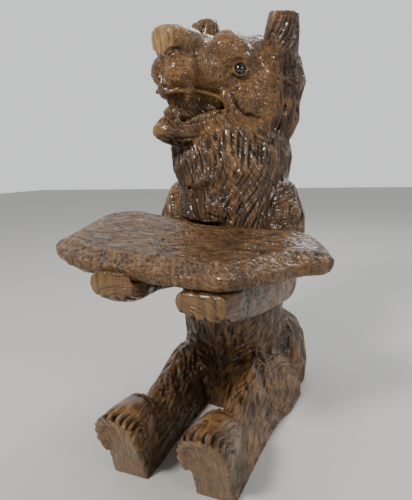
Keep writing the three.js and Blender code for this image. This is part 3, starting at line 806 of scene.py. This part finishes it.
def face_lines(side):
    """The cuts that draw one half of the face: points for the left side, width and depth."""
    main_cuts = [
        # under the hood of the nose, and round the muzzle pad
        ([(3, -108, 20), (12, -106, 28), (22, -98, 33), (28, -80, 33), (29, -62, 30)], 4.2, 2.8),
        ([(3, -106, 18), (2, -104, 4), (6, -101, -6), (18, -92, -10), (30, -78, -6)], 4.2, 2.6),
        # above the upper lip and under the lower one
        ([(30, -72, -3), (34, -58, -3), (39, -40, -6), (44, -24, -12)], 3.4, 1.6),
        ([(4, -104, -68), (18, -92, -71), (29, -66, -68), (38, -42, -60), (44, -24, -48)], 3.6, 2.0),
        # the lower teeth stand in a trough inside the lip
        ([(16, -92, -54), (24, -76, -52), (31, -58, -48), (36, -38, -41)], 3.0, 2.2),
        # crease round the cheek, the valley in front of the mane, and under the brow
        ([(50, -12, 6), (46, -18, -8), (46, -8, -24), (52, 14, -38), (60, 38, -40)], 6.0, 3.0),
        ([(60, 40, 44), (68, 42, 30), (72, 44, 14), (70, 50, -12)], 9.0, 3.6),
        ([(36, -24, 30), (46, -14, 34), (54, 0, 32)], 4.0, 2.0),
    ]
    # each row of nicks: number, its first cut, how far each point moves from cut to cut,
    # width, depth, and points to a span
    rows = [
        # wrinkles behind the corner of the mouth
        (4, [(52, -6, 2), (56, -4, -6), (56, 2, -14)],
         [(1.5, 5, 0), (1.2, 5, 0), (1, 5, 0)], 3.6, 1.6, 3),
        # curved cuts on the muzzle pad
        (6, [(20, -104, 22), (32, -96, 22), (37, -80, 20)],
         [(0, 2, -6), (0, 2, -6), (0, 2, -5)], 2.6, 0.9, 4),
        # teeth parted by slanting cuts, and the small ones in front
        (8, [(24, -78, -52), (22, -75, -47), (19, -73, -50)], [(1.6, 7, 1.8)] * 3, 2.6, 2.4, 3),
        (3, [(2.5, -101, -57), (2.5, -99, -50), (2.5, -95, -46)], [(5, 2, 0)] * 3, 2.6, 1.8, 3),
        # cuts with the grain down the front of the nose
        (3, [(2, -108, 60), (2, -110, 46), (2, -108, 32)],
         [(7, 0, 0), (7, 0, 0), (6, 0, 0)], 3.4, 0.8, 4),
    ]
    mirror = np.array([side, 1, 1])
    lines = [head_line(np.array(points) * mirror, width, depth) for points, width, depth in main_cuts]
    for number, first, step, width, depth, steps in rows:
        for i in range(number):
            points = (np.array(first) + i * np.array(step)) * mirror
            lines.append(head_line(points, width, depth, steps))
    return lines + ear_lines(side)


def toe_lines(side):
    """Valleys between the claws, and the crease round each foot behind them."""
    lines = []
    for i in range(CLAWS + 1):
        valley = [point for _, point in along_claw(side, i * CLAW_STEP - 13.4, 27, -2, 6)]
        lines.append(cut_line(valley, 4.6, 3.6, 3))
    crease = []
    for turn in np.linspace(0, math.pi, 13):
        crease.append((side * 53 + math.cos(turn) * 28, -228, 56 + 37 * math.sin(turn)))
    lines.append(cut_line(crease, 7.0, 2.6, 3))
    return lines


def finger_lines(side):
    """Cuts that part the fingers, from the foot of the squared front of the paw back under it."""
    lines = []
    drop = 5 + 6 * side
    for i in range(4):
        x = side * 50 - 3 + side * (i * 12.5 - 19)
        under = [(x, -269, 230 - drop), (x, -264, 223 - drop), (x + side * 2, -246, 217 - drop)]
        lines.append(cut_line(under, 5.0, 3.0, 4))
    return lines


coat_points = points_of(bear_block.data)
coat_normals = normals_of(bear_block.data)
forward, height = coat_points[:, 1] / MM, coat_points[:, 2] / MM
facing_forward = -coat_normals[:, 1]
on_face = head_coordinates(coat_points)
width_of_face, depth_of_face, height_of_face = np.abs(on_face[:, 0]), on_face[:, 1], on_face[:, 2]
in_mouth = (depth_of_face < -16) & (width_of_face < 40) & (np.abs(height_of_face + 34) < 33)
on_nose = (depth_of_face < -46) & (width_of_face < 32) & (height_of_face > 31)
at_eye = from_eye(on_face) < EYE_CLEAR
on_sole = (forward < -250) & (facing_forward > 0.75) & (height < 110)
on_toes = (forward < -226) & (height < 110) & (height > 30)
on_paw = (forward < -255) & (facing_forward > 0.7) & (height > 150)
on_ear = (height_of_face > 52) & (width_of_face > 42)
underneath = height < 3
bare = in_mouth | on_nose | at_eye | on_sole | on_toes | on_paw | on_ear | underneath
lie, stroke_sizes = lie_of_coat(coat_points, coat_normals)
store(bear_block.data, "across", count_across(bear_block.data, lie, 500))
store(bear_block.data, "face", np.clip((30 * MM - stroke_sizes[:, 0]) / (14 * MM), 0, 1))
plain_sawn = 0.35 * on_sole + 0.3 * on_paw + (on_nose & (coat_normals @ np.array(head)[:3, 1] < -0.45))
store(bear_block.data, "raw", blurred(bear_block.data, plain_sawn, 4))
named_lines = face_lines(1) + face_lines(-1)
for side in (1, -1):
    named_lines += toe_lines(side) + finger_lines(side)
coat = comb(bear_block, lie, stroke_sizes, bare, seed=7, lines=named_lines)

BEAR_TRIANGLES = 192000
bear_finish = wood_finish(
    "stained carved softwood",
    grain_turn=(0, 0, 0), amber=0.6, sheen_rough=0.30, spacing=4.4, run=55, relief=1.4,
)
bear = carve(bear_block, coat, seed=11, finish=bear_finish)
thinned(bear, BEAR_TRIANGLES)
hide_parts("bear")
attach(bear, "root")

# The glass eyes. Black glass buttons, pushed into sockets on a wire before the varnish.
EYE_RADIUS = 8.25 * MM
eye_glass = bpy.data.materials.new("black glass")
eye_glass.use_nodes = True
glass_shader = eye_glass.node_tree.nodes["Principled BSDF"]
glass_shader.inputs["Base Color"].default_value = (0.006, 0.005, 0.005, 1)
glass_shader.inputs["Roughness"].default_value = 0.04
glass_shader.inputs["Coat Weight"].default_value = 1.0
for node in ("left_eye", "right_eye"):
    low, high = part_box(node)
    button = bmesh.new()
    bmesh.ops.create_uvsphere(button, u_segments=40, v_segments=24, radius=EYE_RADIUS)
    bmesh.ops.translate(button, verts=button.verts, vec=(Vector(low) + Vector(high)) / 2)
    mesh = bpy.data.meshes.new(node + "_glass")
    button.to_mesh(mesh)
    mesh.shade_smooth()
    mesh.materials.append(eye_glass)
    eye = object_of(node + "_glass", mesh)
    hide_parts(node)
    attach(eye, "root")

# The serving board. A live-edged plank with a wide chamfer, gouged along its length on top,
# across on the chamfer and upright on the edge, then stained and varnished like the bear.
BOARD_GRID = 1.0 * MM
BOARD_TRIANGLES = 190000
TOP_STROKE = (58, 3.9, 1.2)  # length, width and depth in millimetres
CHAMFER_STROKE = (13, 4.6, 1.7)
EDGE_STROKE = (20, 3.6, 1.1)
board_place = (
    Matrix.Translation(Vector((0, -185, 251.5)) * MM)
    @ Matrix.Rotation(math.radians(7), 4, "X")
    @ Matrix.Rotation(math.radians(1.6), 4, "Y")
    @ Matrix.Translation(Vector((0, 80, 0)) * MM)
)
KNOTS = [(-0.100, -0.072, 0.020), (0.015, -0.052, 0.016), (0.095, -0.060, 0.014)]  # x, y, reach

board_block = block_from("serving_board", "gouged_board", BOARD_GRID)
soften(board_block.data, 6, np.full(len(board_block.data.vertices), 0.5))
points = points_of(board_block.data)
back = np.array(board_place.inverted())
turned = np.array(board_place)[:3, :3]
flat = points @ back[:3, :3].T + back[:3, 3]
facing = normals_of(board_block.data) @ back[:3, :3].T
way = np.zeros_like(points)
way[:, 0] = 1
way[:, 1] = 0.22 * np.sin(flat[:, 0] * 38 + flat[:, 1] * 60) + 0.12 * np.sin(flat[:, 0] * 95 + 1.3)
for knot_x, knot_y, knot_reach in KNOTS:
    away = flat[:, :2] - [knot_x, knot_y]
    far = np.linalg.norm(away / [1.6, 1.0], axis=1)
    swirl = np.exp(-((far / knot_reach) ** 2))[:, None]
    round_knot = np.stack([-away[:, 1] * 1.6, away[:, 0] / 1.6], 1)
    round_knot /= np.maximum(np.linalg.norm(round_knot, axis=1, keepdims=True), 1e-6)
    round_knot *= np.sign(round_knot[:, :1] + 1e-9)
    way[:, :2] = way[:, :2] * (1 - swirl) + round_knot * swirl
sizes = np.tile(np.array(TOP_STROKE) * MM, (len(points), 1))
on_chamfer = (facing[:, 2] > 0.5) & (facing[:, 2] < 0.985)
on_edge = np.abs(facing[:, 2]) <= 0.5
outward = facing * [1, 1, 0]
outward /= np.maximum(np.linalg.norm(outward, axis=1, keepdims=True), 1e-6)
along = np.stack([-outward[:, 1], outward[:, 0], np.zeros(len(points))], 1)
way[on_chamfer] = outward[on_chamfer] + 0.55 * along[on_chamfer]
sizes[on_chamfer] = np.array(CHAMFER_STROKE) * MM
way[on_edge] = np.array([0, 0, -1]) + 0.15 * along[on_edge]
sizes[on_edge] = np.array(EDGE_STROKE) * MM
way = way @ turned.T
normals = normals_of(board_block.data)
way -= normals * np.sum(way * normals, axis=1, keepdims=True)
way /= np.maximum(np.linalg.norm(way, axis=1, keepdims=True), 1e-6)
store(board_block.data, "across", count_across(board_block.data, way, 300))
store(board_block.data, "face", on_chamfer | on_edge)
store(board_block.data, "raw", np.zeros(len(points)))
nowhere = np.zeros(len(points), dtype=bool)
board_strokes = comb(board_block, way, sizes, nowhere, seed=23)
board_finish = wood_finish(
    "stained gouged board",
    grain_turn=(0, math.radians(90), 0), amber=0.3, sheen_rough=0.24, spacing=3.4, run=120, relief=1.0,
)
board = carve(board_block, board_strokes, seed=29, finish=board_finish)
thinned(board, BOARD_TRIANGLES)
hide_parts("serving_board")
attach(board, "root")

# Floor, light and camera
FLOOR_HALF = 6.0
floor_mesh = bpy.data.meshes.new("floor")
corners = [(x * FLOOR_HALF, y * FLOOR_HALF, 0) for x, y in ((-1, -1), (1, -1), (1, 1), (-1, 1))]
floor_mesh.from_pydata(corners, [], [(0, 1, 2, 3)])
floor = object_of("floor", floor_mesh)
floor_paint = bpy.data.materials.new("pale floor")
floor_paint.use_nodes = True
floor_shader = floor_paint.node_tree.nodes["Principled BSDF"]
floor_shader.inputs["Base Color"].default_value = (0.56, 0.55, 0.53, 1)
floor_shader.inputs["Roughness"].default_value = 0.7
floor_mesh.materials.append(floor_paint)

world = bpy.data.worlds.new("studio")
world.use_nodes = True
sky = world.node_tree.nodes
sky["Background"].inputs["Color"].default_value = (0.80, 0.81, 0.81, 1)
direction = sky.new("ShaderNodeTexCoord")
parts = sky.new("ShaderNodeSeparateXYZ")
world.node_tree.links.new(direction.outputs["Object"], parts.inputs["Vector"])
behind = sky.new("ShaderNodeMapRange")
behind.interpolation_type = "SMOOTHSTEP"
for name, value in (("From Min", -0.7), ("From Max", 0.6), ("To Min", 0.24), ("To Max", 1.15)):
    behind.inputs[name].default_value = value
world.node_tree.links.new(parts.outputs["Y"], behind.inputs["Value"])
world.node_tree.links.new(behind.outputs["Result"], sky["Background"].inputs["Strength"])
scene.world = world


def softbox(name, place, target, size, power, colour=(1, 1, 1)):
    lamp = bpy.data.lights.new(name, "AREA")
    lamp.shape = "RECTANGLE"
    lamp.size, lamp.size_y = size
    lamp.energy = power
    lamp.color = colour
    held = object_of(name, lamp)
    held.location = place
    held.rotation_euler = (Vector(target) - Vector(place)).to_track_quat("-Z", "Y").to_euler()


softbox("window", (-0.40, -1.30, 1.30), (0, -0.1, 0.35), (0.30, 0.24), 25, (1.0, 0.96, 0.90))
softbox("back softbox", (0.2, 1.2, 1.8), (0, -0.15, 0.2), (1.0, 0.6), 16, (0.96, 0.98, 1.0))
softbox("fill", (1.35, -0.80, 0.90), (0, -0.1, 0.35), (0.40, 0.40), 6, (1.0, 0.98, 0.95))

CAMERA_PLACE = Vector((0.193, -0.613, 0.36))
CAMERA_RIGHT = Vector((0.9315, 0.3627, -0.0277)).normalized()
CAMERA_FORWARD = Vector((-0.3607, 0.9111, -0.1997)).normalized()
FOCAL_PIXELS = 405           # for a picture FRAME_HEIGHT pixels high
FRAME_HEIGHT = 500
lens = bpy.data.cameras.new("camera")
lens.sensor_width = 36
lens.lens = FOCAL_PIXELS / FRAME_HEIGHT * lens.sensor_width
lens.clip_start = 0.01
camera = object_of("camera", lens)
up = CAMERA_RIGHT.cross(CAMERA_FORWARD).normalized()
right = CAMERA_FORWARD.cross(up)
aim = Matrix((right, up, -CAMERA_FORWARD)).transposed().to_4x4()
aim.translation = CAMERA_PLACE
camera.matrix_world = aim
scene.camera = camera
